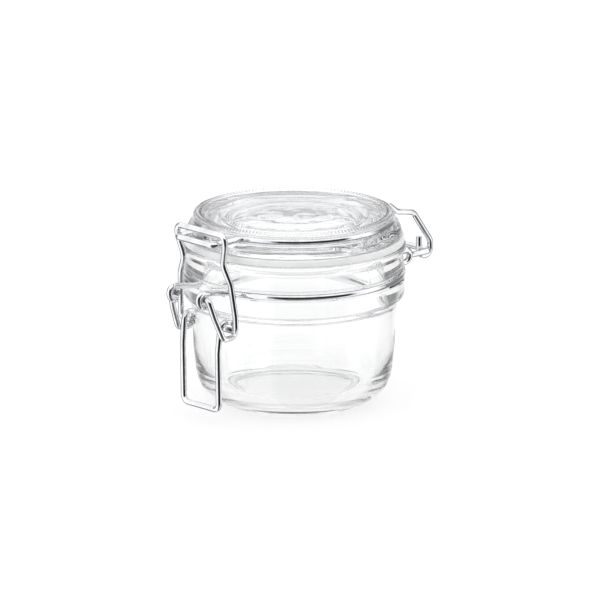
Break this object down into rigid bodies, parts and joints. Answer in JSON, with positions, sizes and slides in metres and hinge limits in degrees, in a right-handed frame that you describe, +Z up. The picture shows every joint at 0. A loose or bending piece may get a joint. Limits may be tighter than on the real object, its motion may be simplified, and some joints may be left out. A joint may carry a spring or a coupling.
{
  "type": "lidded glass canister",
  "caption": "Small round glass preserving jar with a hinged glass lid, rubber gasket and swing clamp of bent wire.",
  "frame": {"origin": "centre of the jar's flat base, on its axis", "axes": "+Z up along the jar's axis; the clamp is on the -Y side and the hinge on the +Y side; +X is to the right when facing the clamp"},
  "size_m": [0.0834, 0.1192, 0.0739],
  "materials": {
    "clear_glass": "clear pressed glass",
    "seal_rubber": "off-white, slightly translucent",
    "steel_wire": "bright drawn wire"
  },
  "bodies": {
    "jar": {"glass_jar": "clear_glass", "neck_wire": "steel_wire"},
    "lid": {"glass_lid": "clear_glass", "gasket": "seal_rubber", "lid_wire": "steel_wire"},
    "lever": {"lever": "steel_wire"},
    "bail": {"bail": "steel_wire"}
  },
  "joints": [
    {"name": "lid_hinge", "type": "hinge", "parent": "jar", "child": "lid", "pos_m": [0, 0.0586, 0.0492], "axis": [-1, 0, 0], "range_deg": [0, 115]},
    {"name": "lever_pivot", "type": "hinge", "parent": "jar", "child": "lever", "pos_m": [0, -0.0526, 0.0488], "axis": [-1, 0, 0], "range_deg": [0, 66]},
    {"name": "bail_pivot", "type": "hinge", "parent": "lever", "child": "bail", "pos_m": [0, -0.0431, 0.0363], "axis": [1, 0, 0], "range_deg": [0, 149]}
  ],
  "couplings": [
    {"joint": "bail_pivot", "follows": "lever_pivot", "ratio": 2.25}
  ]
}
